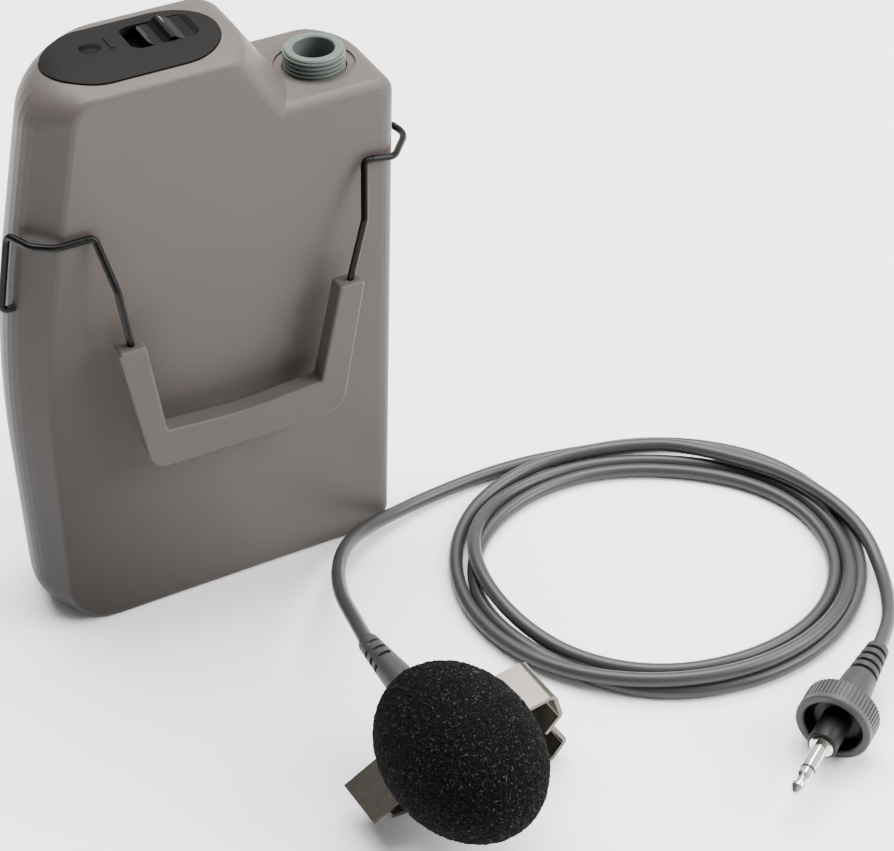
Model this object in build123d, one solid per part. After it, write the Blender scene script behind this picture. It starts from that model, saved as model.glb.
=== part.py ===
from build123d import *
import math
import os

# Belt-pack wireless transmitter with a lavalier microphone on a plug-in lead.
# Millimetres. +Z up, +X along the case's width, +Y to the back of the case.
# The origin is on the floor, under the middle of the transmitter case.

# ---------------------------------------------------------------- driving dimensions
CASE_DEPTH = 23.0
CASE_TOP = 102.0
SHOULDER = 91.0
WALL = 1.6
CLEAR = 0.1

FRONT = -CASE_DEPTH / 2
BACK = CASE_DEPTH / 2
PARTING_RIGHT = 0.7
PARTING_LEFT = -4.3
CROWN = 0.2
CROWN_DROP = 1.0

# widest outline of the case, seen from the front: corner name -> (x, z, corner radius)
BASE_LEFT = (-34.8, 0.0, 8.0)
KNEE = (-35.95, 54.7, 190.0)
TOP_LEFT = (-26.2, 102.0, 4.5)
FOOT_X = 16.0
SHOULDER_RIGHT_X = 31.95
BASE_RIGHT_X = 29.4
SLOPE = 0.657
TOP_LEFT_GROWTH = 4.5

PANEL_X = (-22.2, 6.3)
PANEL_Y = (-8.6, 8.0)
PANEL_PROUD = 0.25
WINDOW_CENTRE = (-2.5, 1.4)
WINDOW_SIZE = (11.3, 7.6)
LAMP_AT = (-13.8, 1.4)
LAMP_R = 1.65
SWITCH_TRAVEL = 2.5

SOCKET_AT = (22.4, -0.7)
SOCKET_TOP = 94.0
THREAD_R = 5.05
THREAD_PITCH = 0.75
SOCKET_BORE_R = 3.35
JACK_FACE = 86.5
JACK_R = 1.28
RECESS_R = 6.65
RECESS_DEPTH = 0.35

WIRE_R = 0.6
PIN_LEFT = (-34.0, -5.2, 64.7)
PIN_RIGHT = (32.0, -1.0, 61.0)
HINGE_Y = -12.4
HINGE_Z = 78.3
ARM_Y = -16.5
GRIP_T = 3.4
GRIP_WIDTH = 4.4

BATTERY_R = 7.1
BATTERY_AT = (-15.5, 1.5)
BATTERY_Z = (9.6, 58.8)
DOOR_X = (-25.0, 21.0)
DOOR_TOP = 63.0
BOARD_Y = -8.4
BOARD_T = 1.2
# case screws: x, z, parting line, seat of the head
SCREWS = [(-25.6, 74.0, PARTING_LEFT, 6.6), (-27.6, 13.0, PARTING_LEFT, 6.6)]
SCREWS += [(25.6, 66.0, PARTING_RIGHT, 8.9), (24.9, 9.0, PARTING_RIGHT, 8.9)]
SELECTOR_AT = (6.0, 26.0)
TRIMMER_AT = (16.0, 26.0)

CORD_D = 2.5
CORD_R = CORD_D / 2
COIL_CENTRE = (64.9, -44.6)
COIL_OUTER = (37.2, 34.0)
COIL_INNER = (30.7, 25.8)
COIL_TILT = -17.0
COIL_H = 2 * CORD_D + 0.2

HEAD_AT = (5.0, -83.0)
HEAD_TURN = 3.6
MIC_Z = 18.0
HOUSING_R = 4.0
HOUSING_Y = (-8.0, 14.0)
BOOT_TIP = 28.76
FOAM_R = 12.4
FOAM_HALF = 16.5
FOAM_BACK = 0.4
LEAF_T = 0.7
LEAF_Y = (4.3, 13.3)
PIVOT = (2.0, 7.4)

PLUG_TIP = (51.7, -105.4)
PLUG_TURN = 213.3
NUT_R = 6.4
PLUG_Z = NUT_R + 0.02
PIN_R = 1.25
NUT_FACE = 16.2
NUT_LENGTH = 4.9
NOSE_R = 2.5
BOOT_END = 36.97

# The lead, by hand, from the microphone's strain relief to the coil and from the coil to the plug.
MIC_TAIL = [
    (3.2, -54.3, 18.0),
    (4.5, -46.3, 16.5),
    (6.2, -38.5, 13.8),
    (9.9, -29.3, 10.5),
    (15.5, -20.8, 7.2),
    (22.0, -15.6, 4.4),
    (28.9, -12.5, 2.6),
    (37.7, -10.3, 1.6),
    (48.7, -9.3, 1.3),
    (59.0, -9.9, 1.3),
    (68.5, -12.1, 1.3),
]
PLUG_TAIL = [
    (93.6, -33.4, 4.4),
    (97.0, -39.6, 4.4),
    (99.2, -46.0, 4.2),
    (100.2, -52.8, 3.9),
    (99.9, -58.9, 3.3),
    (98.0, -65.4, 2.3),
    (94.4, -72.6, 2.7),
    (89.2, -79.6, 4.5),
    (82.6, -85.1, 6.42),
]


def write(name, *solids):
    """Write one node's STEP file."""
    shape = solids[0] if len(solids) == 1 else Compound(children=list(solids))
    shape.label = name
    export_step(shape, f"parts/{name}.step")


def block(x0, x1, y0, y1, z0, z1):
    """A box between two corners."""
    size = (x1 - x0, y1 - y0, z1 - z0)
    return Pos((x0 + x1) / 2, (y0 + y1) / 2, (z0 + z1) / 2) * Box(*size)


def rod(x, y, z0, z1, radius):
    """An upright cylinder."""
    return Pos(x, y, (z0 + z1) / 2) * Cylinder(radius, z1 - z0)


def rod_y(x, z, y0, y1, radius):
    """A cylinder along Y."""
    return Pos(x, (y0 + y1) / 2, z) * Rot(90, 0, 0) * Cylinder(radius, y1 - y0)


def turned(profile):
    """Turn a closed (radius, height) outline about Z."""
    return revolve(make_face(Polyline(*[(r, 0, z) for r, z in profile], close=True)), Axis.Z)


# ---------------------------------------------------------------- case form
def bevel(d, width, depth, blend):
    """Inset of a sloping edge, at depth d behind the face, that runs out softly into the side."""
    if d >= depth + blend:
        return 0.0
    if d <= depth - blend:
        return width * (1 - d / depth)
    return width / depth * (depth + blend - d) ** 2 / (4 * blend)


def rounding(d, radius):
    """Inset of a quarter-round edge at depth d behind the face."""
    if d >= radius:
        return 0.0
    return radius - math.sqrt(radius**2 - (radius - d) ** 2)


def crease(d, size):
    """Small extra inset that rounds the first half millimetre behind a face."""
    return size * max(0.0, 1 - d / 0.6) ** 2


def back_round(d, width, depth):
    """Inset of an elliptical rounding at distance d in front of the back face."""
    if d >= depth:
        return 0.0
    return width * (1 - math.sqrt(1 - (1 - d / depth) ** 2))


def insets(y):
    """Left, slope, right, top, shoulder and base insets of the case outline at y."""
    front = y - FRONT
    back = BACK - y
    left = bevel(front, 5.0, 6.7, 2.6) + crease(front, 0.5) + back_round(back, 13.0, 15.8)
    slope = bevel(front, 3.8, 7.0, 3.0) + crease(front, 0.3) + rounding(back, 5.0)
    right = rounding(front, 2.8) + back_round(back, 8.5, 9.5)
    top = rounding(front, 0.8) + rounding(back, 1.6)
    shoulder = rounding(front, 2.0) + rounding(back, 1.6)
    return left, slope, right, top, shoulder, rounding(front, 0.9) + rounding(back, 0.9)


def section(station, shrink):
    """Case outline at one station from front to back, pulled in by an even shrink."""
    left, slope, right, top, shoulder, base = insets(station)
    y = station * (BACK - shrink) / BACK
    crown = CROWN - CROWN_DROP * (y / BACK) ** 2
    z_top = CASE_TOP + crown - top - shrink
    z_shoulder = SHOULDER - shoulder - shrink
    z_base = base + shrink
    foot = FOOT_X - slope - 1.1 * shrink
    ridge = foot - SLOPE * (z_top - z_shoulder)
    right_in = right + shrink
    points = [
        (BASE_LEFT[0] + 0.72 * left + shrink, y, z_base),
        (KNEE[0] + left + shrink, y, KNEE[1]),
        (TOP_LEFT[0] + left + shrink, y, z_top),
        (ridge, y, z_top),
        (foot, y, z_shoulder),
        (SHOULDER_RIGHT_X - right_in, y, z_shoulder),
        (BASE_RIGHT_X - right_in, y, z_base),
    ]
    inside = min(1.0, (station - FRONT) / 7.0)
    corner = TOP_LEFT[2] + TOP_LEFT_GROWTH * inside - shrink
    radii = [max(1.0, BASE_LEFT[2] - shrink), KNEE[2], corner, 2.5, 0.4]
    radii += [max(0.5, 2.5 - shrink), max(0.5, 3.5 - shrink)]
    return make_face(FilletPolyline(*points, radius=radii, close=True))


STATIONS = [-11.5, -11.38, -11.15, -10.8, -10.3, -9.6, -8.7, -7.5, -6.3, -5.1, -3.9, -2.2]
STATIONS += [0.0, 2.0, 4.0, 5.7, 7.2, 8.4, 9.3, 10.1, 10.7, 11.1, 11.38, 11.5]


def case_form(shrink):
    """The outer form of the whole case, or an inner one when shrink is positive."""
    return loft([section(station, shrink) for station in STATIONS], ruled=True)


def stadium(x_range, y_range, z0, z1):
    """Upright prism with round ends along X."""
    width = y_range[1] - y_range[0]
    length = x_range[1] - x_range[0]
    centre = ((x_range[0] + x_range[1]) / 2, (y_range[0] + y_range[1]) / 2)
    return Pos(*centre, z0) * extrude(SlotOverall(length, width), z1 - z0)


def grown(pair, margin):
    """A (low, high) pair widened by a margin."""
    return pair[0] - margin, pair[1] + margin


def under_panel(margin):
    """The space below the panel, inside its outline by a margin."""
    return stadium(grown(PANEL_X, -margin), grown(PANEL_Y, -margin), 94, 106)


def window(margin, z0, z1):
    """Rounded opening for the power switch."""
    outline = RectangleRounded(WINDOW_SIZE[0] + 2 * margin, WINDOW_SIZE[1] + 2 * margin, 1.9 + margin)
    return Pos(*WINDOW_CENTRE, z0) * extrude(outline, z1 - z0)


def front_region():
    """Everything on the front shell's side of the stepped parting line."""
    right = block(-21.0, 60, -40, PARTING_RIGHT, -10, 120)
    return right + block(-60, -21.0, -40, PARTING_LEFT, -10, 120)


def shells(outer, cavity):
    """The front and rear shells, with every opening cut."""
    hollow = outer - cavity
    panel_bed = stadium(grown(PANEL_X, 0.12), grown(PANEL_Y, 0.12), 96, 106) - case_form(1.0)
    hollow -= panel_bed
    hollow -= block(-16.6, 5.2, -3.6, 6.6, 96, 106) & under_panel(0.8)
    hollow -= rod(*SOCKET_AT, 84, 100, THREAD_R + 0.2)
    hollow -= rod(*SOCKET_AT, SHOULDER - RECESS_DEPTH, 100, RECESS_R)
    hollow -= Pos(*PIN_LEFT) * Rot(0, 90, 0) * Cylinder(WIRE_R + 0.02, 8)
    hollow -= Pos(*PIN_RIGHT) * Rot(0, 90, 0) * Cylinder(WIRE_R + 0.02, 8)
    region = front_region()
    front = hollow & region
    rear = hollow - region
    for x, z, split, seat in SCREWS:
        front += rod_y(x, z, FRONT + 1.0, split, 2.0) & outer
        front -= rod_y(x, z, split - 4.6, split + 1, 0.8)
        rear += rod_y(x, z, split, seat + 1.5, 2.6) & outer
        rear -= rod_y(x, z, split - 1, BACK, 1.0)
        rear -= rod_y(x, z, seat, BACK + 2, 2.05)
    rear -= door_space(CLEAR)
    return front, rear


def door_space(margin):
    """The prism that the battery door fills, open at the base."""
    x0, x1 = grown(DOOR_X, margin)
    return block(x0, x1, BACK - WALL - margin, BACK + 3, -3, DOOR_TOP + margin)


def battery_door(outer):
    """Flat door in the back wall that slides down off the case, with thumb ridges."""
    door = outer & door_space(0)
    for i in range(5):
        door += block(-10, 6, BACK - 0.3, BACK + 0.45, 52 + 2 * i, 52.8 + 2 * i)
    return door


def top_panel():
    """Dark crowned panel let into the top, with the switch window, lamp hole and an on mark."""
    panel = stadium(PANEL_X, PANEL_Y, 96, 108) & (case_form(-PANEL_PROUD) - case_form(0.95))
    panel -= window(0, 96, 108)
    panel -= rod(*LAMP_AT, 96, 108, LAMP_R + 0.05)
    mark_x, mark_y = WINDOW_CENTRE[0] - 8.2, WINDOW_CENTRE[1]
    mark_z = CASE_TOP + CROWN + PANEL_PROUD
    panel += block(mark_x - 0.3, mark_x + 0.3, mark_y - 1.7, mark_y + 1.7, mark_z - 0.6, mark_z + 0.15)
    return panel


# ---------------------------------------------------------------- controls and electronics
def power_knob():
    """Slide knob with a finger ridge, a stem into the switch and a dust plate under the panel."""
    x, y = WINDOW_CENTRE
    x0, x1 = x - 2.85, x + 5.55
    half = WINDOW_SIZE[1] / 2 - 0.2
    top = [(x0, 102.45), (x0 + 0.9, 102.1), (x0 + 2.2, 102.05), (x0 + 3.0, 102.45), (x0 + 3.5, 102.95)]
    top += [(x0 + 4.1, 102.95), (x0 + 4.7, 102.5), (x0 + 5.8, 102.15), (x0 + 7.4, 102.2), (x1, 102.5)]
    outline = [(x0, 100.1)] + top + [(x1, 100.1)]
    side = make_face(Polyline(*[(px, 0, pz) for px, pz in outline], close=True))
    body = Pos(0, y + half, 0) * extrude(side, 2 * half, dir=(0, -1, 0))
    plan = Pos((x0 + x1) / 2, y, 99) * extrude(RectangleRounded(x1 - x0, 2 * half, 1.7), 8)
    knob = body & plan
    knob += block(x - 5.45, x + 7.45, y - 4.2, y + 4.2, 99.6, 100.2) & under_panel(1.4)
    knob += block(x + 0.35, x + 2.35, y - 1.2, y + 1.2, 96.2, 99.8)
    return knob


def slide_switch():
    """Switch can with a slot for the knob's stem."""
    x, y = WINDOW_CENTRE
    can = block(x - 5.25, x + 5.95, y - 3.4, y + 3.4, 91.7, 97.4)
    return can - block(x - 2.35, x + 2.55, y - 1.4, y + 1.4, 95.9, 98)


def status_lamp():
    """Domed light pipe with a flange below the panel, on its lamp."""
    x, y = LAMP_AT
    dome = Pos(x, y, 97.75) * Sphere(5.0) & rod(x, y, 99.7, 105, LAMP_R)
    return dome + rod(x, y, 98.9, 99.9, 2.3) + rod(x, y, 91.7, 99.0, 1.5)


def mic_socket():
    """Threaded collar on the shoulder that the plug's nut screws onto."""
    x, y = SOCKET_AT
    root = THREAD_R - 0.45
    profile = [(SOCKET_BORE_R, 84.6), (6.2, 84.6), (6.2, 88.4), (THREAD_R, 88.4)]
    profile += [(THREAD_R, 90.6)]
    crests = 4
    for i in range(crests):
        z = 90.6 + i * THREAD_PITCH
        profile += [(root, z + 0.12), (root, z + 0.3), (THREAD_R, z + 0.45), (THREAD_R - 0.05, z + 0.65)]
    profile += [(root + 0.15, 93.5), (root + 0.15, SOCKET_TOP - 0.2), (root - 0.05, SOCKET_TOP)]
    profile += [(SOCKET_BORE_R + 0.2, SOCKET_TOP), (SOCKET_BORE_R, SOCKET_TOP - 0.2)]
    return Pos(x, y, 0) * turned(profile)


def jack():
    """Jack body under the collar, with the bore that takes the plug's pin, and its contact blades."""
    x, y = SOCKET_AT
    body = rod(x, y, 84.0, JACK_FACE, SOCKET_BORE_R - 0.02) + rod(x, y, 74.0, 84.5, 5.2)
    body -= rod(x, y, 75.0, JACK_FACE + 1, JACK_R)
    body -= block(x + 2.3, x + 3.1, y - 2.2, y + 2.2, 73, 82)
    body -= block(x - 3.1, x - 2.3, y - 2.2, y + 2.2, 73, 82)
    blades = [block(x + s * 2.7 - 0.2, x + s * 2.7 + 0.2, y - 2, y + 2, 71.5, 81.5) for s in (-1, 1)]
    return body, blades


def main_board():
    """Upright circuit board behind the front wall."""
    return block(-23.8, 22.6, BOARD_Y, BOARD_Y + BOARD_T, 6, 86)


def shield_can():
    """Folded tin lid over the radio stage, open towards the board."""
    y0 = BOARD_Y + BOARD_T
    can = block(0, 20, y0, y0 + 4.2, 52, 70)
    return can - block(0.3, 19.7, y0 - 1, y0 + 3.9, 52.3, 69.7)


def rotary(at, body_size, rotor_r, height):
    """A board-mounted rotary control: its body, and its slotted rotor facing the back."""
    x, z = at
    y0 = BOARD_Y + BOARD_T
    half = body_size / 2
    top = y0 + height
    body = block(x - half, x + half, y0, top, z - half, z + half)
    body -= rod_y(x, z, top - 1.5, top + 1, rotor_r + 0.05)
    rotor = rod_y(x, z, top - 1.45, top + 0.6, rotor_r)
    rotor -= block(x - rotor_r, x + rotor_r, top - 0.3, top + 1, z - 0.35, z + 0.35)
    rotor -= block(x - 0.35, x + 0.35, top - 0.3, top + 1, z, z + rotor_r)
    return body, rotor


def battery():
    """One AA cell, upright: sleeve with its raised contact."""
    x, y = BATTERY_AT
    cell = rod(x, y, BATTERY_Z[0], BATTERY_Z[1], BATTERY_R)
    return cell + rod(x, y, BATTERY_Z[1], BATTERY_Z[1] + 1.2, 2.7)


def battery_tray():
    """Moulded trough that holds the cell against the board."""
    x, y = BATTERY_AT
    tray = block(x - 8.3, x + 8.3, BOARD_Y + BOARD_T + 0.1, y + 2, 5.6, 62.6)
    tray -= rod(x, y, BATTERY_Z[0] - 2.4, BATTERY_Z[1] + 1.8, BATTERY_R + 0.3)
    return tray


def battery_contacts():
    """Flat positive plate at the top of the trough and the coil spring under the cell."""
    x, y = BATTERY_AT
    top = BATTERY_Z[1] + 1.2
    plate = block(x - 4, x + 4, y - 4, y + 1.8, top + 0.02, top + 0.42)
    wire = 0.35
    path = Helix(pitch=0.95, height=1.6, radius=3.4)
    start = Plane(origin=path @ 0, z_dir=path % 0)
    coil = sweep(start * Circle(wire), path, is_frenet=True)
    return plate, Pos(x, y, BATTERY_Z[0] - 2.0) * coil


def screws():
    """Four case screws with cross recesses."""
    out = []
    for x, z, split, seat in SCREWS:
        screw = rod_y(x, z, split - 4.5, seat + 0.1, 0.8) + rod_y(x, z, seat, seat + 1.4, 1.9)
        screw -= block(x - 1.1, x + 1.1, seat + 0.8, BACK, z - 0.22, z + 0.22)
        screw -= block(x - 0.22, x + 0.22, seat + 0.8, BACK, z - 1.1, z + 1.1)
        out.append(screw)
    return out


# ---------------------------------------------------------------- belt clip
def bent_wire(points, radius, bends):
    """Round wire along straight runs with a rounded bend at each inner point."""
    path = FilletPolyline(*points, radius=bends)
    return sweep(Plane(origin=path @ 0, z_dir=path % 0) * Circle(radius), path)


def side_springs():
    """The two fixed ends of the clip wire: hooked into the case sides, up, and round to the front."""
    y, z = PIN_LEFT[1:]
    left = [(-32.5, y, z), (-34.9, y, z), (-32.4, y, 78.2), (-30.4, -10.2, 78.3)]
    left += [(-27.2, HINGE_Y, HINGE_Z), (-22.35, HINGE_Y, HINGE_Z)]
    y, z = PIN_RIGHT[1:]
    right = [(30.2, y, z), (32.3, y, z), (35.0, y, 76.8), (35.7, -6.2, 77.0)]
    right += [(30.6, HINGE_Y, 77.6), (26.6, HINGE_Y, HINGE_Z)]
    bends_left = [0.9, 1.4, 3.5, 3.5]
    bends_right = [0.9, 2.3, 4.6, 3.0]
    return bent_wire(left, WIRE_R, bends_left), bent_wire(right, WIRE_R, bends_right)


ARM_PATHS = (
    [
        (-22.3, HINGE_Y, HINGE_Z),
        (-20.9, HINGE_Y, HINGE_Z),
        (-19.4, ARM_Y, 70.0),
        (-18.1, ARM_Y, 59.0),
        (-16.6, ARM_Y, 48.0),
    ],
    [
        (26.55, HINGE_Y, HINGE_Z),
        (25.2, HINGE_Y, HINGE_Z),
        (23.0, ARM_Y, 70.3),
        (20.0, ARM_Y, 59.0),
        (17.9, ARM_Y, 48.0),
    ],
)


def front_arms():
    """The swinging part of the clip wire, from the bend on the front down into the grip."""
    return [bent_wire(points, WIRE_R, [0.95, 1.6, 6.0]) for points in ARM_PATHS]


def clip_grip():
    """U-shaped moulded grip on the wire ends, with a waist line round its edge."""
    outer = [(-20.8, 59.6), (-16.2, 59.6), (-13.9, 41.9), (0, 40.9), (13.6, 41.9)]
    outer += [(17.6, 59.6), (22.1, 59.6), (17.4, 34.8), (-16.9, 34.8)]
    radii = [0.6, 0.6, 0.7, 60, 0.7, 0.6, 0.6, 4.0, 3.2]
    face = make_face(FilletPolyline(*[(x, 0, z) for x, z in outer], radius=radii, close=True))
    slab = Pos(0, ARM_Y + GRIP_T / 2, 0) * extrude(face, GRIP_T, dir=(0, -1, 0))
    front_edges = slab.faces().sort_by(Axis.Y)[0].edges()
    slab = fillet(front_edges, 0.45)
    rear_half = block(-30, 30, ARM_Y, ARM_Y + GRIP_T, 30, 65)
    core = Pos(0, ARM_Y + GRIP_T / 2, 0) * extrude(offset(face, -0.15), GRIP_T, dir=(0, -1, 0))
    grip = (slab - rear_half) + (core & rear_half)
    for points in ARM_PATHS:
        grip -= bent_wire(points, WIRE_R + 0.01, [0.95, 1.6, 6.0])
    return grip


# ---------------------------------------------------------------- microphone head
HEAD = Pos(HEAD_AT[0], HEAD_AT[1], 0) * Rot(0, 0, HEAD_TURN)
LEAF_LINE = [(-13.3, 5.9), (4.2, 14.3), (19.9, 15.9), (21.3, 11.0), (18.5, 8.2)]
JAW_LINE = [(-9.4, 4.2), (-3.5, 3.4), (9.0, 0.5), (20.6, 0.5), (23.1, 3.4), (20.1, 8.3)]


def barrel(y0, y1, radius):
    """A cylinder on the microphone's axis."""
    return rod_y(0, MIC_Z, y0, y1, radius)


def mic_housing():
    """Metal barrel round the capsule."""
    y0, y1 = HOUSING_Y
    return barrel(y0, y1, HOUSING_R) - barrel(y0 - 1, y1 - 1.2, HOUSING_R - 0.6) - barrel(y0, y1 + 1, 1.35)


def mic_grille():
    """Perforated cap on the front of the barrel."""
    y0 = HOUSING_Y[0]
    cap = barrel(y0 - 0.7, y0 - 0.02, HOUSING_R)
    holes = [(0, 0)]
    for count, radius in ((6, 1.3), (12, 2.5)):
        for i in range(count):
            turn = 2 * math.pi * i / count
            holes.append((radius * math.cos(turn), radius * math.sin(turn)))
    for x, z in holes:
        cap -= rod_y(x, MIC_Z + z, y0 - 2, y0 + 1, 0.35)
    return cap


def mic_capsule():
    """Electret capsule can, and the rubber ring that seats it in the barrel."""
    y0 = HOUSING_Y[0] + 0.3
    can = barrel(y0, y0 + 4.5, 2.9)
    ring = barrel(y0 + 0.5, y0 + 3.5, HOUSING_R - 0.62) - barrel(y0, y0 + 4, 2.92)
    return can, ring


def mic_boot():
    """Tapered strain relief with rows of slots near the cord."""
    y0 = HOUSING_Y[1] + 0.02
    length = BOOT_TIP - y0
    profile = [(0, 0), (2.9, 0), (2.9, 0.8), (1.75, length - 0.5), (1.55, length), (0, length)]
    cone = Pos(0, y0, MIC_Z) * Rot(-90, 0, 0) * turned(profile)
    for i in range(3):
        y_top = BOOT_TIP - 2.2 - 1.75 * i
        y_side = y_top - 0.85
        for s in (-1.95, 1.95):
            z = MIC_Z + s
            cone -= block(-1.1, 1.1, y_top - 0.35, y_top + 0.35, z - 0.5, z + 0.5)
            cone -= block(s - 0.5, s + 0.5, y_side - 0.35, y_side + 0.35, MIC_Z - 1.1, MIC_Z + 1.1)
    return cone


def sheet_strip(line, y0, y1, bends):
    """Bent sheet metal: a centre line in X and Z, given thickness and width."""
    path = FilletPolyline(*[(x, 0, z) for x, z in line], radius=bends)
    start = Plane(origin=path @ 0, z_dir=path % 0, x_dir=(0, 1, 0))
    strip = sweep(start * Rectangle(y1 - y0, LEAF_T), path)
    return Pos(0, (y0 + y1) / 2, 0) * strip


def tie_clip():
    """Two sprung leaves on a pin, and the ring that holds the barrel."""
    y0, y1 = LEAF_Y
    px, pz = PIVOT
    upper = sheet_strip(LEAF_LINE, y0, y1, [4.0, 1.1, 1.0])
    for y in (y0 + 0.3, y1 - 0.3):
        ear = [(-3, 10.7), (6.5, 14.2), (4.6, 5.6), (-0.6, 5.6)]
        face = make_face(Polyline(*[(x, 0, z) for x, z in ear], close=True))
        upper += Pos(0, y + 0.3, 0) * extrude(face, 0.6, dir=(0, -1, 0))
    lower = sheet_strip(JAW_LINE, y0 + 1.0, y1 - 1.0, [6.0, 8.0, 1.3, 1.1])
    for y in (y0 + 1.3, y1 - 1.3):
        ear = [(-2.2, 3.2), (6.4, 1.4), (4.4, 8.8), (0.2, 9.0)]
        face = make_face(Polyline(*[(x, 0, z) for x, z in ear], close=True))
        lower += Pos(0, y + 0.3, 0) * extrude(face, 0.6, dir=(0, -1, 0))
    upper -= rod_y(px, pz, y0 - 2, y1 + 2, 0.8)
    lower -= rod_y(px, pz, y0 - 2, y1 + 2, 0.85)
    pin = rod_y(px, pz, y0 - 0.4, y1 + 0.4, 0.79)
    ring = barrel(y0 + 0.6, y1 - 0.6, HOUSING_R + 0.65) - barrel(y0, y1, HOUSING_R + 0.01)
    foot = block(-2.6, 2.6, y0 + 0.6, y1 - 0.6, 12.0, MIC_Z) - barrel(y0, y1, HOUSING_R + 0.3)
    ring += foot - prism_under_leaf(y0 - 5, y1 + 5)
    ring -= upper
    spring_path = Helix(pitch=0.62, height=4.3, radius=1.35)
    start = Plane(origin=spring_path @ 0, z_dir=spring_path % 0)
    spring = sweep(start * Circle(0.28), spring_path, is_frenet=True)
    spring = Pos(px, y1 - 2.3, pz) * Rot(90, 0, 0) * spring
    return upper, lower, pin, ring, spring


def prism_under_leaf(y0, y1):
    """Everything below the upper leaf's centre line."""
    line = [(-30.0, -2.1)] + LEAF_LINE[1:2] + [(30.0, 16.9), (30.0, -20.0), (-30.0, -20.0)]
    face = make_face(Polyline(*[(x, 0, z) for x, z in line], close=True))
    return Pos(0, y1, 0) * extrude(face, y1 - y0, dir=(0, -1, 0))


def foam_windscreen():
    """Foam ball over the barrel, notched at the back where it sits over the clip."""
    front_of_bore = HOUSING_Y[0] - 1.1
    step = LEAF_Y[0] - 0.3
    half = Pos(0, FOAM_BACK) * Ellipse(FOAM_R, FOAM_HALF) - Pos(-FOAM_R, 0) * Rectangle(2 * FOAM_R, 3 * FOAM_HALF)
    half -= Pos(0, front_of_bore + 20) * Rectangle(2 * (HOUSING_R + 0.3), 40)
    half -= Pos(0, step + 20) * Rectangle(2 * (HOUSING_R + 1.0), 40)
    ball = Pos(0, 0, MIC_Z) * revolve(half, Axis.Y)
    notch = Pos(0, 0, LEAF_T / 2 + 0.45) * prism_under_leaf(LEAF_Y[0] - 0.7, 30)
    notch += block(-3.0, 3.0, step, 30, 12, MIC_Z)
    return ball - notch


# ---------------------------------------------------------------- plug
PLUG = Pos(PLUG_TIP[0], PLUG_TIP[1], PLUG_Z) * Rot(0, 0, PLUG_TURN) * Rot(0, -90, 0)


def plug_pin():
    """Pin contacts: tip, dark insulating ring and sleeve with its collar."""
    tip = [(0, 0), (0.35, 0.1), (1.15, 1.3), (1.2, 1.9), (0.85, 2.6), (0.85, 3.4)]
    tip += [(PIN_R, 4.1), (PIN_R, 5.3), (0, 5.3)]
    ring = [(0, 5.3), (PIN_R, 5.3), (PIN_R, 5.9), (0, 5.9)]
    sleeve = [(0, 5.9), (PIN_R, 5.9), (PIN_R, 11.1), (1.75, 11.1), (2.0, 11.35), (2.0, 12.4), (0, 12.4)]
    return turned(tip), turned(ring), turned(sleeve)


def plug_body():
    """Moulded body: insulator nose, snap flange inside the nut, and the ribbed strain relief."""
    rear = NUT_FACE + NUT_LENGTH
    flange = (rear - 2.7, rear - 1.8)
    nose = [(0, 12.4), (2.02, 12.4), (2.02, 11.6), (NOSE_R - 0.15, 11.6), (NOSE_R, 11.8)]
    nose += [(NOSE_R, flange[0]), (3.9, flange[0]), (3.9, flange[1]), (3.25, flange[1])]
    nose += [(3.25, rear + 0.1), (3.4, rear + 0.15), (3.4, rear + 0.4)]
    slope = (1.95 - 3.4) / (BOOT_END - rear)
    grooves = 4
    for i in range(grooves):
        s = BOOT_END - 8.1 + 1.9 * i
        r = 3.4 + slope * (s - rear)
        nose += [(r, s), (r - 0.6, s + 0.15), (r - 0.65, s + 0.75), (r - 0.15, s + 0.9)]
    nose += [(1.95, BOOT_END - 0.3), (1.7, BOOT_END), (0, BOOT_END)]
    return turned(nose)


def lock_nut():
    """Knurled nut that turns freely on the plug body: cup at the front, bore at the back."""
    s0, s1 = NUT_FACE, NUT_FACE + NUT_LENGTH
    cup = [(4.95, s0 + 0.3), (5.25, s0), (NUT_R - 0.25, s0), (NUT_R, s0 + 0.25), (NUT_R, s0 + 1.0)]
    cup += [(NUT_R, s1 - 0.3), (NUT_R - 0.4, s1), (3.33, s1), (3.33, s1 - 1.5), (4.95, s1 - 1.5)]
    nut = turned(cup)
    ribs = 56
    cutter = []
    for i in range(ribs):
        groove = Pos(NUT_R + 0.02, 0, (s0 + 1.15 + s1 - 0.1) / 2) * Box(0.46, 0.3, s1 - s0 - 1.2)
        cutter.append(Rot(0, 0, 360 * i / ribs) * groove)
    return nut - cutter


# ---------------------------------------------------------------- lead
def cord_tube(name, points):
    """Round cord along straight runs joined by large tangent arcs; prints what the arcs came to."""
    runs = [(Vector(b) - Vector(a)) for a, b in zip(points, points[1:])]
    radii = []
    for a, b in zip(runs, runs[1:]):
        half_turn = math.radians(a.get_angle(b)) / 2
        radii.append(0.45 * min(a.length, b.length) / math.tan(half_turn))
    path = FilletPolyline(*points, radius=radii)
    tube = sweep(Plane(origin=path @ 0, z_dir=path % 0) * Circle(CORD_R), path)
    expected = path.length * math.pi * CORD_R**2
    print(f"{name}: length {path.length:.1f}, smallest radius {min(radii):.1f}")
    print(f"   volume ratio {tube.volume / expected:.4f}")
    return tube


def coil_solid():
    """Outer shape of the coiled part of the lead."""
    ring = Ellipse(*COIL_OUTER) - Ellipse(*COIL_INNER)
    return Pos(*COIL_CENTRE, 0) * Rot(0, 0, COIL_TILT) * extrude(ring, COIL_H)


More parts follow.
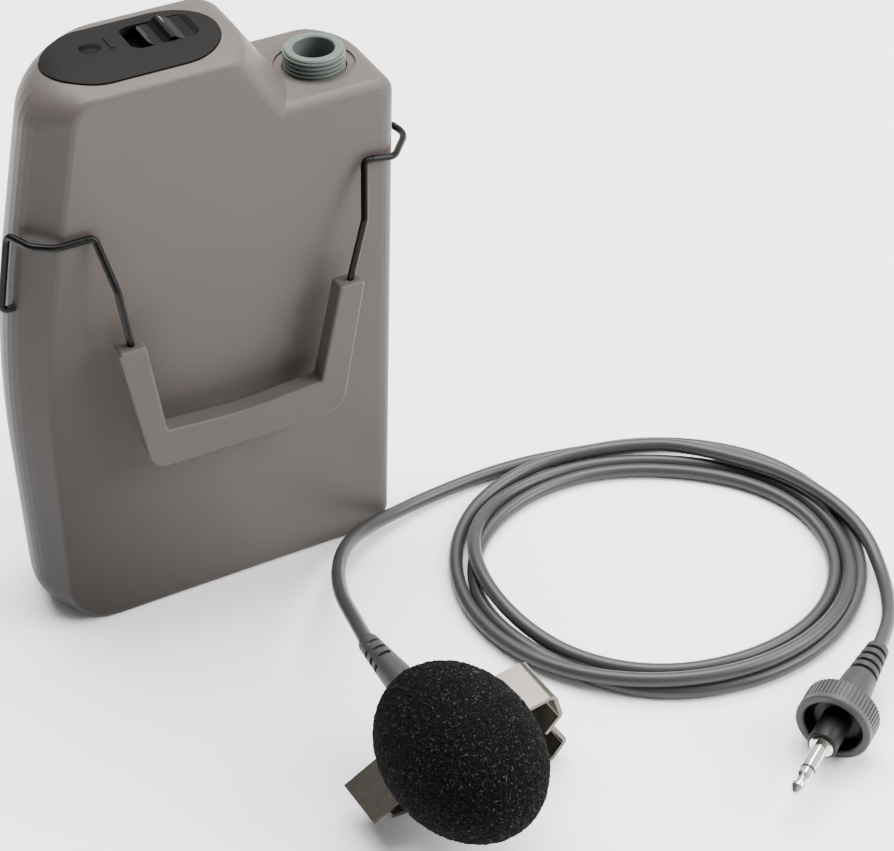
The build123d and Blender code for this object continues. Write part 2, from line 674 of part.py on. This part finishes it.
# ---------------------------------------------------------------- write every node
def main():
    os.makedirs("parts", exist_ok=True)
    outer = case_form(0)
    cavity = case_form(WALL)
    front, rear = shells(outer, cavity)
    write("front_case", front)
    write("rear_case", rear)
    write("battery_door", battery_door(outer))
    write("top_panel", top_panel())
    write("power_switch_knob", power_knob())
    write("slide_switch", slide_switch())
    write("status_lamp", status_lamp())
    write("switch_board", block(-16.5, 5.0, -3.0, 5.8, 90.6, 91.6))
    write("mic_socket", mic_socket())
    body, blades = jack()
    write("jack_body", body)
    write("jack_contacts", *blades)
    write("main_board", main_board())
    write("shield_can", shield_can())
    selector_body, selector = rotary(SELECTOR_AT, 9.0, 3.0, 5.0)
    write("channel_switch_body", selector_body)
    write("channel_selector", selector)
    trimmer_body, trimmer = rotary(TRIMMER_AT, 6.4, 2.2, 3.6)
    write("level_trimmer_body", trimmer_body)
    write("level_trimmer", trimmer)
    write("battery", battery())
    write("battery_tray", battery_tray())
    plate, spring = battery_contacts()
    write("battery_contact_plate", plate)
    write("battery_contact_spring", spring)
    write("case_screws", *screws())
    write("clip_side_springs", *side_springs())
    write("clip_arms", *front_arms())
    write("clip_grip", clip_grip())
    write("mic_housing", HEAD * mic_housing())
    write("mic_grille", HEAD * mic_grille())
    can, ring = mic_capsule()
    write("mic_capsule", HEAD * can)
    write("capsule_ring", HEAD * ring)
    write("mic_strain_relief", HEAD * mic_boot())
    upper, lower, pin, holder, clip_spring = tie_clip()
    write("tie_clip_upper_leaf", HEAD * upper)
    write("tie_clip_lower_leaf", HEAD * lower)
    write("tie_clip_pin", HEAD * pin)
    write("tie_clip_ring", HEAD * holder)
    write("tie_clip_spring", HEAD * clip_spring)
    write("foam_windscreen", HEAD * foam_windscreen())
    tip, ring, sleeve = plug_pin()
    write("plug_tip", PLUG * tip)
    write("plug_insulator_ring", PLUG * ring)
    write("plug_sleeve", PLUG * sleeve)
    write("plug_body", PLUG * plug_body())
    write("lock_nut", PLUG * lock_nut())
    mic_tail = cord_tube("mic tail", MIC_TAIL)
    plug_tail = cord_tube("plug tail", PLUG_TAIL)
    write("cord_mic_tail", mic_tail)
    write("cord_plug_tail", plug_tail)
    write("cord_coil", coil_solid() - mic_tail - plug_tail)


main()
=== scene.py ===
"""Belt-pack transmitter with a lavalier microphone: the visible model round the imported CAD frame."""
import math

import bmesh
import bpy
from mathutils import Matrix, Vector, noise


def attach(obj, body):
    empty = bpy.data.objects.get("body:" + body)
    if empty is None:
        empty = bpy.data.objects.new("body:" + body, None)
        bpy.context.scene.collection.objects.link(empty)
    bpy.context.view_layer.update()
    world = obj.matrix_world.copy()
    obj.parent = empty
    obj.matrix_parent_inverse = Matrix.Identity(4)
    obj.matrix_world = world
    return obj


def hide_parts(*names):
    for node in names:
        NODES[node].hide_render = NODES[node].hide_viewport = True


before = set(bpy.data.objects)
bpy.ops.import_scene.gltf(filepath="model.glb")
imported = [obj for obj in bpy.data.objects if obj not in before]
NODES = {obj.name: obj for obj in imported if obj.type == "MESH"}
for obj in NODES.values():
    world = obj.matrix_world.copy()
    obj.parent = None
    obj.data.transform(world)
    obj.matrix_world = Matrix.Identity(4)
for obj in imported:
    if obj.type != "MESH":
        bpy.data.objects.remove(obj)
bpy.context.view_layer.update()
MM = 0.001

# ---------------------------------------------------------------- camera
SENSOR_WIDTH = 36.0
CAMERA_AT = Vector((-116.553, -305.615, 284.864)) * MM
CAMERA_RIGHT = Vector((0.88196, -0.47132, 0.0))
CAMERA_UP = Vector((0.29463, 0.55132, 0.78054))
CAMERA_BACK = Vector((-0.36788, -0.68841, 0.62511))
LENS = 96.64


def make_camera():
    """The camera, where the object is seen from the front left and above."""
    data = bpy.data.cameras.new("camera")
    data.lens = LENS
    data.sensor_width = SENSOR_WIDTH
    data.clip_start = 0.01
    data.clip_end = 20
    cam = bpy.data.objects.new("camera", data)
    turn = Matrix((CAMERA_RIGHT, CAMERA_UP, CAMERA_BACK)).transposed()
    cam.matrix_world = Matrix.Translation(CAMERA_AT) @ turn.to_4x4()
    bpy.context.collection.objects.link(cam)
    bpy.context.scene.camera = cam


make_camera()

# ---------------------------------------------------------------- lead
CORD_R = 1.25 * MM
COIL_CENTRE = (64.9, -44.6)
COIL_AXES = (34.0, 30.0)
COIL_TILT = 107.0
COIL_STEP = 15

# mic end to coil, then coil to plug, in mm: the same points as the CAD tubes
MIC_TAIL = [
    (3.2, -54.3, 18.0),
    (4.5, -46.3, 16.5),
    (6.2, -38.5, 13.8),
    (9.9, -29.3, 10.5),
    (15.5, -20.8, 7.2),
    (22.0, -15.6, 4.4),
    (28.9, -12.5, 2.6),
    (37.7, -10.3, 1.6),
    (48.7, -9.3, 1.3),
    (59.0, -9.9, 1.3),
    (68.5, -12.1, 1.3),
]
PLUG_TAIL = [
    (93.6, -33.4, 4.4),
    (97.0, -39.6, 4.4),
    (99.2, -46.0, 4.2),
    (100.2, -52.8, 3.9),
    (99.9, -58.9, 3.3),
    (98.0, -65.4, 2.3),
    (94.4, -72.6, 2.7),
    (89.2, -79.6, 4.5),
    (82.6, -85.1, 6.42),
]
# the coil: degrees turned from the back, distance outside the mean ellipse, height of the centreline
COIL_STATIONS = [
    (6, 2.6, 1.3),
    (45, 3.2, 1.3),
    (70, 3.6, 1.3),
    (90, 2.9, 1.3),
    (112, 2.3, 1.3),
    (135, 2.6, 1.3),
    (180, 2.7, 1.3),
    (215, 2.1, 1.3),
    (250, -0.6, 1.3),
    (285, -0.9, 1.3),
    (325, -2.6, 1.3),
    (365, -4.0, 1.3),
    (405, -5.0, 1.3),
    (450, -3.0, 1.3),
    (495, -2.0, 1.3),
    (540, -2.6, 1.3),
    (575, -2.6, 1.3),
    (605, -3.3, 1.5),
    (630, -3.1, 3.2),
    (650, -1.9, 4.1),
    (670, -0.4, 3.2),
    (692, 0.1, 1.5),
    (725, -1.4, 1.3),
    (765, -2.3, 1.3),
    (810, -0.2, 1.3),
    (835, 0.1, 1.6),
    (860, 1.0, 3.0),
    (900, 1.8, 3.7),
    (935, 1.9, 3.5),
    (968, 1.7, 2.2),
    (990, 1.5, 1.4),
    (1012, 1.8, 1.3),
    (1045, 2.9, 1.5),
    (1065, 2.2, 2.3),
    (1088, 0.6, 2.9),
    (1120, -0.2, 3.7),
]


def ellipse_radius(degrees):
    """Radius of the coil's mean ellipse, degrees clockwise from the back."""
    turn = math.radians(degrees - COIL_TILT)
    a, b = COIL_AXES
    return a * b / math.hypot(b * math.cos(turn), a * math.sin(turn))


def eased(stations, at):
    """Offset and height at an angle, on a smooth curve through the stations."""
    for i in range(1, len(stations)):
        if at <= stations[i][0]:
            break
    p0 = stations[max(i - 2, 0)]
    p1, p2 = stations[i - 1], stations[i]
    p3 = stations[min(i + 1, len(stations) - 1)]
    t = (at - p1[0]) / (p2[0] - p1[0])
    out = []
    for k in (1, 2):
        m1 = (p2[k] - p0[k]) / (p2[0] - p0[0]) * (p2[0] - p1[0])
        m2 = (p3[k] - p1[k]) / (p3[0] - p1[0]) * (p2[0] - p1[0])
        t2, t3 = t * t, t * t * t
        near = (2 * t3 - 3 * t2 + 1) * p1[k] + (t3 - 2 * t2 + t) * m1
        far = (3 * t2 - 2 * t3) * p2[k] + (t3 - t2) * m2
        out.append(near + far)
    return out


def coil_points():
    """Three loose turns, clockwise from above."""
    points = []
    first, last = COIL_STATIONS[0][0], COIL_STATIONS[-1][0]
    count = round((last - first) / COIL_STEP)
    for i in range(1, count + 1):
        at = first + (last - first) * i / count
        offset, height = eased(COIL_STATIONS, at)
        r = ellipse_radius(at) + offset
        turn = math.radians(at)
        x = COIL_CENTRE[0] + r * math.sin(turn)
        y = COIL_CENTRE[1] + r * math.cos(turn)
        points.append((x, y, height))
    return points


def make_cord():
    """The whole lead as one smooth curve, through three loose turns."""
    route = MIC_TAIL + coil_points() + PLUG_TAIL
    data = bpy.data.curves.new("lead", "CURVE")
    data.dimensions = "3D"
    spline = data.splines.new("NURBS")
    spline.points.add(len(route) - 1)
    for point, place in zip(spline.points, route):
        point.co = (*(v * MM for v in place), 1.0)
        point.radius = CORD_R
    spline.order_u = 3
    spline.use_endpoint_u = True
    data.resolution_u = 8
    data.bevel_depth = 1.0  # times each point's radius, which keeps the curve's bounding box to the lead
    data.bevel_resolution = 5
    data.use_fill_caps = True
    cord = bpy.data.objects.new("lead", data)
    bpy.context.collection.objects.link(cord)
    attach(cord, "case")
    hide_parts("cord_mic_tail", "cord_coil", "cord_plug_tail")
    return cord


lead = make_cord()


# ---------------------------------------------------------------- materials
PLUG_TIP = Vector((51.7, -105.4, 6.42)) * MM
PLUG_BLACK = (0.004, 0.004, 0.004)
PLUG_AXIS = Vector((math.cos(math.radians(33.3)), math.sin(math.radians(33.3)), 0.0))


def shader(name):
    """A new material and its main shader node, links and nodes."""
    material = bpy.data.materials.new(name)
    material.use_nodes = True
    nodes = material.node_tree.nodes
    return material, nodes["Principled BSDF"], material.node_tree.links, nodes


def noise_node(nodes, links, scale, detail=3.0, roughness=0.5, kind="ShaderNodeTexNoise"):
    """Procedural noise on object coordinates, in pattern cells per metre."""
    where = nodes.new("ShaderNodeTexCoord")
    texture = nodes.new(kind)
    texture.inputs["Scale"].default_value = scale
    if kind == "ShaderNodeTexNoise":
        texture.inputs["Detail"].default_value = detail
        texture.inputs["Roughness"].default_value = roughness
    links.new(where.outputs["Object"], texture.inputs["Vector"])
    return texture


def ramp_node(nodes, links, source, stops):
    """A colour ramp from a value socket."""
    ramp = nodes.new("ShaderNodeValToRGB")
    ramp.color_ramp.elements[0].position = stops[0][0]
    ramp.color_ramp.elements[0].color = (*stops[0][1], 1)
    ramp.color_ramp.elements[1].position = stops[-1][0]
    ramp.color_ramp.elements[1].color = (*stops[-1][1], 1)
    for position, colour in stops[1:-1]:
        ramp.color_ramp.elements.new(position).color = (*colour, 1)
    links.new(source, ramp.inputs["Fac"])
    return ramp


def bump_node(nodes, links, bsdf, source, strength, distance):
    """Bump from a value socket into the shader's normal."""
    bump = nodes.new("ShaderNodeBump")
    bump.inputs["Strength"].default_value = strength
    bump.inputs["Distance"].default_value = distance
    links.new(source, bump.inputs["Height"])
    links.new(bump.outputs["Normal"], bsdf.inputs["Normal"])


def moulded(name, colour, spread=0.06, roughness=0.45, grain=2600, strength=0.12, specular=0.5):
    """Moulded plastic: fine spark-eroded grain and a slight mottling of colour and gloss."""
    material, bsdf, links, nodes = shader(name)
    fine = noise_node(nodes, links, grain, 2.0)
    broad = noise_node(nodes, links, 45, 3.0)
    low = tuple(c * (1 - spread) for c in colour)
    high = tuple(c * (1 + spread) for c in colour)
    ramp = ramp_node(nodes, links, broad.outputs["Fac"], [(0.3, low), (0.7, high)])
    links.new(ramp.outputs["Color"], bsdf.inputs["Base Color"])
    gloss = nodes.new("ShaderNodeMapRange")
    gloss.inputs["To Min"].default_value = roughness - 0.04
    gloss.inputs["To Max"].default_value = roughness + 0.04
    links.new(broad.outputs["Fac"], gloss.inputs["Value"])
    links.new(gloss.outputs["Result"], bsdf.inputs["Roughness"])
    bsdf.inputs["Specular IOR Level"].default_value = specular
    bump_node(nodes, links, bsdf, fine.outputs["Fac"], strength, 0.00004)
    return material


DARKEN_BY_HEIGHT = 0.3
DARKEN_FROM = -36.0 * MM
DARKEN_TO = 8.0 * MM


def darkened_low_left(material, darkest):
    """Paint a moulded colour darker towards the object's lower left.

    This stands in for shading that the lamps leave out there. It isn't a property of the plastic.
    """
    nodes = material.node_tree.nodes
    links = material.node_tree.links
    socket = nodes["Principled BSDF"].inputs["Base Color"]
    colour = socket.links[0].from_socket
    where = nodes.new("ShaderNodeTexCoord")
    parts = nodes.new("ShaderNodeSeparateXYZ")
    links.new(where.outputs["Object"], parts.inputs["Vector"])
    height = nodes.new("ShaderNodeMath")
    height.operation = "MULTIPLY_ADD"
    height.inputs[1].default_value = DARKEN_BY_HEIGHT
    links.new(parts.outputs["Z"], height.inputs[0])
    links.new(parts.outputs["X"], height.inputs[2])
    depth = nodes.new("ShaderNodeMapRange")
    depth.inputs["From Min"].default_value = DARKEN_FROM
    depth.inputs["From Max"].default_value = DARKEN_TO
    depth.inputs["To Min"].default_value = darkest
    depth.inputs["To Max"].default_value = 1.0
    links.new(height.outputs["Value"], depth.inputs["Value"])
    tint = nodes.new("ShaderNodeVectorMath")
    tint.operation = "SCALE"
    links.new(colour, tint.inputs["Vector"])
    links.new(depth.outputs["Result"], tint.inputs["Scale"])
    links.new(tint.outputs["Vector"], socket)


def dark_part(material, node, along=None, within=None):
    """Black where a plug part is nearer the tip than a distance in mm (black moulding), or nearer the axis
    than a distance in mm (painted shade in the nut's hollow).
    """
    nodes = material.node_tree.nodes
    links = material.node_tree.links
    socket = nodes["Principled BSDF"].inputs["Base Color"]
    colour = socket.links[0].from_socket
    local = NODES[node].matrix_world.inverted()
    where = nodes.new("ShaderNodeTexCoord")
    offset = nodes.new("ShaderNodeVectorMath")
    offset.operation = "SUBTRACT"
    offset.inputs[1].default_value = local @ PLUG_TIP
    links.new(where.outputs["Object"], offset.inputs[0])
    measure = nodes.new("ShaderNodeVectorMath")
    measure.inputs[1].default_value = local.to_3x3() @ PLUG_AXIS
    links.new(offset.outputs["Vector"], measure.inputs[0])
    below = nodes.new("ShaderNodeMath")
    below.operation = "LESS_THAN"
    if along is not None:
        measure.operation = "DOT_PRODUCT"
        below.inputs[1].default_value = along * MM
        links.new(measure.outputs["Value"], below.inputs[0])
    else:
        measure.operation = "CROSS_PRODUCT"
        size = nodes.new("ShaderNodeVectorMath")
        size.operation = "LENGTH"
        links.new(measure.outputs["Vector"], size.inputs[0])
        below.inputs[1].default_value = within * MM
        links.new(size.outputs["Value"], below.inputs[0])
    mix = nodes.new("ShaderNodeMixRGB")
    mix.inputs["Color2"].default_value = (*PLUG_BLACK, 1)
    links.new(colour, mix.inputs["Color1"])
    links.new(below.outputs["Value"], mix.inputs["Fac"])
    links.new(mix.outputs["Color"], socket)


def metal(name, colour, roughness=0.2, grain=900, strength=0.05, stretch=(1, 1, 1)):
    """Plated metal with faint polishing marks."""
    material, bsdf, links, nodes = shader(name)
    where = nodes.new("ShaderNodeTexCoord")
    mapping = nodes.new("ShaderNodeMapping")
    mapping.inputs["Scale"].default_value = stretch
    texture = nodes.new("ShaderNodeTexNoise")
    texture.inputs["Scale"].default_value = grain
    texture.inputs["Detail"].default_value = 4
    links.new(where.outputs["Object"], mapping.inputs["Vector"])
    links.new(mapping.outputs["Vector"], texture.inputs["Vector"])
    low = tuple(c * 0.92 for c in colour)
    ramp = ramp_node(nodes, links, texture.outputs["Fac"], [(0.35, low), (0.65, colour)])
    links.new(ramp.outputs["Color"], bsdf.inputs["Base Color"])
    gloss = nodes.new("ShaderNodeMapRange")
    gloss.inputs["To Min"].default_value = roughness * 0.8
    gloss.inputs["To Max"].default_value = roughness * 1.3
    links.new(texture.outputs["Fac"], gloss.inputs["Value"])
    links.new(gloss.outputs["Result"], bsdf.inputs["Roughness"])
    bsdf.inputs["Metallic"].default_value = 1.0
    bump_node(nodes, links, bsdf, texture.outputs["Fac"], strength, 0.00002)
    return material


def foam_material():
    """Open-cell acoustic foam: painted shade in the pits, and a few painted glints on the cell walls."""
    material, bsdf, links, nodes = shader("foam_open_cell")
    cells = noise_node(nodes, links, 2700, kind="ShaderNodeTexVoronoi")
    cells.feature = "F1"
    grit = noise_node(nodes, links, 3800, 2.0)
    mix = nodes.new("ShaderNodeMath")
    mix.operation = "MULTIPLY"
    links.new(cells.outputs["Distance"], mix.inputs[0])
    links.new(grit.outputs["Fac"], mix.inputs[1])
    # painted shade in the cell pits, rising to painted glints on the cell walls
    pit_shade, web, wall, painted_glint = (0.001,) * 3, (0.002,) * 3, (0.006,) * 3, (0.045,) * 3
    stops = [(0.05, pit_shade), (0.26, web), (0.40, wall), (0.52, painted_glint)]
    ramp = ramp_node(nodes, links, mix.outputs["Value"], stops)
    links.new(ramp.outputs["Color"], bsdf.inputs["Base Color"])
    bsdf.inputs["Roughness"].default_value = 0.85
    bsdf.inputs["Specular IOR Level"].default_value = 0.06
    bump_node(nodes, links, bsdf, mix.outputs["Value"], 0.9, 0.0005)
    return material


CASE_GREY = (0.082, 0.071, 0.064)
case_plastic = moulded("case_plastic_grain", CASE_GREY, 0.03, 0.42, 3000, 0.16, 0.16)
darkened_low_left(case_plastic, 0.12)
grip_plastic = moulded("grip_plastic", (0.072, 0.064, 0.059), 0.03, 0.42, 3000, 0.12, 0.2)
panel_plastic = moulded("panel_plastic_grain", (0.008, 0.0075, 0.007), 0.05, 0.55, 3200, 0.12, 0.05)
knob_plastic = moulded("knob_gloss", (0.002, 0.002, 0.0022), 0.1, 0.16, 900, 0.03, 0.12)
lamp_lens = moulded("lamp_smoked", (0.002, 0.0015, 0.0015), 0.1, 0.3, 900, 0.02, 0.03)
socket_metal = moulded("socket_anodised", (0.085, 0.103, 0.091), 0.05, 0.34, 2500, 0.08, 0.35)
wire_black = moulded("wire_enamel", (0.002, 0.002, 0.002), 0.1, 0.3, 1500, 0.04, 0.15)
cord_rubber = moulded("lead_jacket", (0.034, 0.033, 0.036), 0.05, 0.34, 2200, 0.06, 0.3)
boot_rubber = moulded("strain_relief_rubber", (0.034, 0.033, 0.033), 0.05, 0.42, 2600, 0.1, 0.25)
nut_plastic = moulded("nut_plastic", (0.050, 0.050, 0.051), 0.05, 0.38, 2600, 0.1, 0.25)
plug_rubber = moulded("plug_moulding", (0.034, 0.033, 0.033), 0.05, 0.42, 2600, 0.1, 0.25)
dark_part(plug_rubber, "plug_body", along=20.5)
# painted shade: the hollow of the nut's cup, near its axis, is painted black
dark_part(nut_plastic, "lock_nut", within=5.05)
black_plastic = moulded("black_moulding", (0.010, 0.010, 0.011), 0.1, 0.35, 2200, 0.08, 0.5)
clip_nickel = metal("clip_nickel", (0.13, 0.118, 0.1), 0.2, 700, 0.06, (1, 6, 1))
plug_nickel = metal("plug_nickel", (0.78, 0.76, 0.72), 0.12, 1200, 0.03)
tin = metal("tin_plate", (0.6, 0.6, 0.6), 0.3, 800, 0.05)
brass = metal("contact_brass", (0.75, 0.56, 0.26), 0.25, 900, 0.05)
mic_black = moulded("mic_black_metal", (0.012, 0.012, 0.012), 0.1, 0.3, 1500, 0.06, 0.5)
board_green = moulded("board_green", (0.012, 0.09, 0.035), 0.15, 0.4, 700, 0.1)
battery_skin = moulded("battery_sleeve", (0.05, 0.05, 0.06), 0.1, 0.25, 600, 0.03)
foam_black = foam_material()

FINISH = {
    "front_case": case_plastic,
    "rear_case": case_plastic,
    "battery_door": case_plastic,
    "top_panel": panel_plastic,
    "power_switch_knob": knob_plastic,
    "status_lamp": lamp_lens,
    "mic_socket": socket_metal,
    "jack_body": black_plastic,
    "jack_contacts": brass,
    "main_board": board_green,
    "switch_board": board_green,
    "shield_can": tin,
    "slide_switch": black_plastic,
    "channel_switch_body": black_plastic,
    "channel_selector": boot_rubber,
    "level_trimmer_body": black_plastic,
    "level_trimmer": boot_rubber,
    "battery": battery_skin,
    "battery_tray": black_plastic,
    "battery_contact_plate": tin,
    "battery_contact_spring": tin,
    "case_screws": tin,
    "clip_side_springs": wire_black,
    "clip_arms": wire_black,
    "clip_grip": grip_plastic,
    "mic_housing": mic_black,
    "mic_grille": mic_black,
    "mic_capsule": tin,
    "capsule_ring": black_plastic,
    "mic_strain_relief": boot_rubber,
    "tie_clip_upper_leaf": clip_nickel,
    "tie_clip_lower_leaf": clip_nickel,
    "tie_clip_pin": clip_nickel,
    "tie_clip_ring": clip_nickel,
    "tie_clip_spring": tin,
    "plug_tip": plug_nickel,
    "plug_insulator_ring": black_plastic,
    "plug_sleeve": plug_nickel,
    "plug_body": plug_rubber,
    "lock_nut": nut_plastic,
}


def finish_frame():
    """Give every carried-over CAD node its material."""
    for name, material in FINISH.items():
        for one in NODES[name].material_slots:
            one.link = "OBJECT"
            one.material = material
    lead.data.materials.append(cord_rubber)


finish_frame()

# ---------------------------------------------------------------- foam windscreen
FOAM_CELL = 0.32 * MM
FOAM_RIPPLE = 0.22 * MM
FOAM_COARSE = 1500
FOAM_FINE = 3300


def make_foam():
    """The CAD foam's form in fine even facets, pitted inwards by two sizes of noise."""
    source = NODES["foam_windscreen"]
    shaped = bpy.data.objects.new("foam_form", source.data.copy())
    shaped.matrix_world = source.matrix_world.copy()
    bpy.context.collection.objects.link(shaped)
    remesh = shaped.modifiers.new("cells", "REMESH")
    remesh.mode = "VOXEL"
    remesh.voxel_size = FOAM_CELL
    evaluated = shaped.evaluated_get(bpy.context.evaluated_depsgraph_get())
    mesh = bpy.data.meshes.new_from_object(evaluated)
    bpy.data.objects.remove(shaped)
    mesh.name = "foam_ball"
    normals = [Vector(v.normal) for v in mesh.vertices]
    for vert, normal in zip(mesh.vertices, normals):
        grit = noise.noise(vert.co * FOAM_COARSE) + 0.6 * noise.noise(vert.co * FOAM_FINE)
        vert.co = vert.co - normal * FOAM_RIPPLE * (1 - grit)
    for polygon in mesh.polygons:
        polygon.use_smooth = True
    foam = bpy.data.objects.new("foam_ball", mesh)
    foam.matrix_world = source.matrix_world.copy()
    bpy.context.collection.objects.link(foam)
    mesh.materials.clear()
    mesh.materials.append(foam_black)
    return foam


foam = make_foam()
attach(foam, "windscreen")
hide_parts("foam_windscreen")


# ---------------------------------------------------------------- floor and light
FLOOR_HALF = 3
FLOOR_WHITE = (0.97, 0.97, 0.97, 1)
LAMP_AIM = Vector((0.02, -0.04, 0.04))


def make_floor():
    """A plain pale floor."""
    bm = bmesh.new()
    bmesh.ops.create_grid(bm, x_segments=1, y_segments=1, size=FLOOR_HALF)
    mesh = bpy.data.meshes.new("floor")
    bm.to_mesh(mesh)
    bm.free()
    floor = bpy.data.objects.new("floor", mesh)
    material, bsdf = shader("floor_white")[:2]
    bsdf.inputs["Base Color"].default_value = FLOOR_WHITE
    bsdf.inputs["Roughness"].default_value = 0.9
    bsdf.inputs["Specular IOR Level"].default_value = 0.1
    mesh.materials.append(material)
    bpy.context.collection.objects.link(floor)


def softbox(name, at, size, power):
    """A large rectangular lamp aimed at the object."""
    data = bpy.data.lights.new(name, "AREA")
    data.shape = "RECTANGLE"
    data.size, data.size_y = size
    data.energy = power
    lamp = bpy.data.objects.new(name, data)
    lamp.location = at
    towards = LAMP_AIM - Vector(at)
    lamp.rotation_euler = towards.to_track_quat("-Z", "Y").to_euler()
    bpy.context.collection.objects.link(lamp)


SKY_LEFT = 0.12
SKY_RIGHT = 1.25
SKY_FADE = (-0.75, 0.55)


def make_light():
    """Surroundings dim on the left and bright on the right, a soft lamp overhead, one at the front right."""
    world = bpy.data.worlds.new("studio")
    world.use_nodes = True
    nodes = world.node_tree.nodes
    links = world.node_tree.links
    where = nodes.new("ShaderNodeTexCoord")
    parts = nodes.new("ShaderNodeSeparateXYZ")
    links.new(where.outputs["Generated"], parts.inputs["Vector"])
    spread = nodes.new("ShaderNodeMapRange")
    spread.interpolation_type = "SMOOTHSTEP"
    spread.inputs["From Min"].default_value = SKY_FADE[0]
    spread.inputs["From Max"].default_value = SKY_FADE[1]
    spread.inputs["To Min"].default_value = SKY_LEFT
    spread.inputs["To Max"].default_value = SKY_RIGHT
    links.new(parts.outputs["X"], spread.inputs["Value"])
    links.new(spread.outputs["Result"], nodes["Background"].inputs["Strength"])
    nodes["Background"].inputs["Color"].default_value = (1, 1, 1, 1)
    bpy.context.scene.world = world
    softbox("overhead", (0.15, 0.25, 0.95), (1.1, 0.8), 34)
    softbox("key_right", (0.62, -0.50, 0.55), (0.5, 0.5), 13)


make_floor()
make_light()
